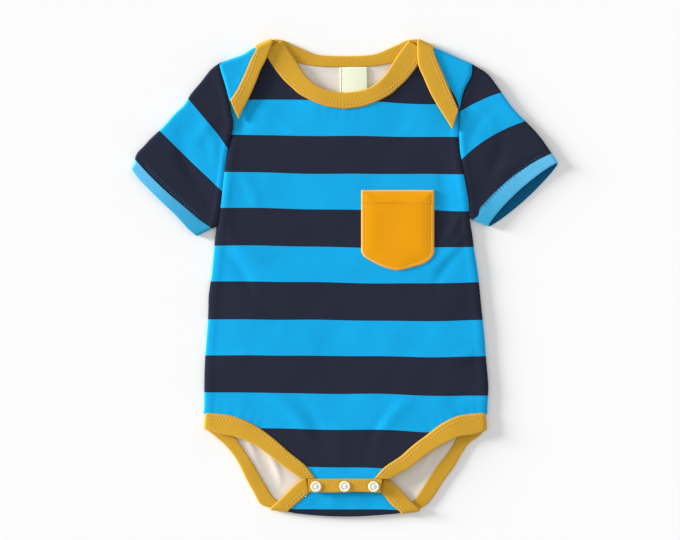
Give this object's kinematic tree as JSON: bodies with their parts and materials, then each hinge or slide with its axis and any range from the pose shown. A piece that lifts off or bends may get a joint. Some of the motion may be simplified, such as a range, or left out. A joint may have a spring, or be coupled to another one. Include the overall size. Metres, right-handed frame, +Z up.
{
  "type": "baby romper",
  "caption": "Short-sleeved striped baby romper with an envelope neck, chest pocket, bound leg openings and snap crotch, laid flat on its back.",
  "frame": {"origin": "on the surface that the garment lies on, under the middle of its outline", "axes": "+X to the right of the laid garment seen from above, +Y from the crotch to the neck, +Z up out of the front"},
  "size_m": [0.3638, 0.4051, 0.0095],
  "materials": {
    "jersey_striped": "soft cotton jersey, blue and navy stripes about 31 mm wide",
    "rib_mustard": "mustard cotton rib, folded binding",
    "jersey_mustard": "plain mustard cotton jersey",
    "label_cream": "smooth cream label tape, bare",
    "snap_white": "cream-white moulded snap"
  },
  "bodies": {
    "root": {"back_panel": "jersey_striped", "front_panel": "jersey_striped", "sleeve_left": "jersey_striped", "sleeve_right": "jersey_striped", "leg_binding_left": "rib_mustard", "leg_binding_right": "rib_mustard", "neck_binding_front": "rib_mustard", "neck_binding_back": "rib_mustard", "placket_front": "rib_mustard", "placket_back": "rib_mustard", "chest_pocket": "jersey_mustard", "neck_label": "label_cream", "snap_cap_1": "snap_white", "snap_cap_2": "snap_white", "snap_cap_3": "snap_white", "snap_stud_1": "snap_white", "snap_stud_2": "snap_white", "snap_stud_3": "snap_white"}
  },
  "joints": []
}
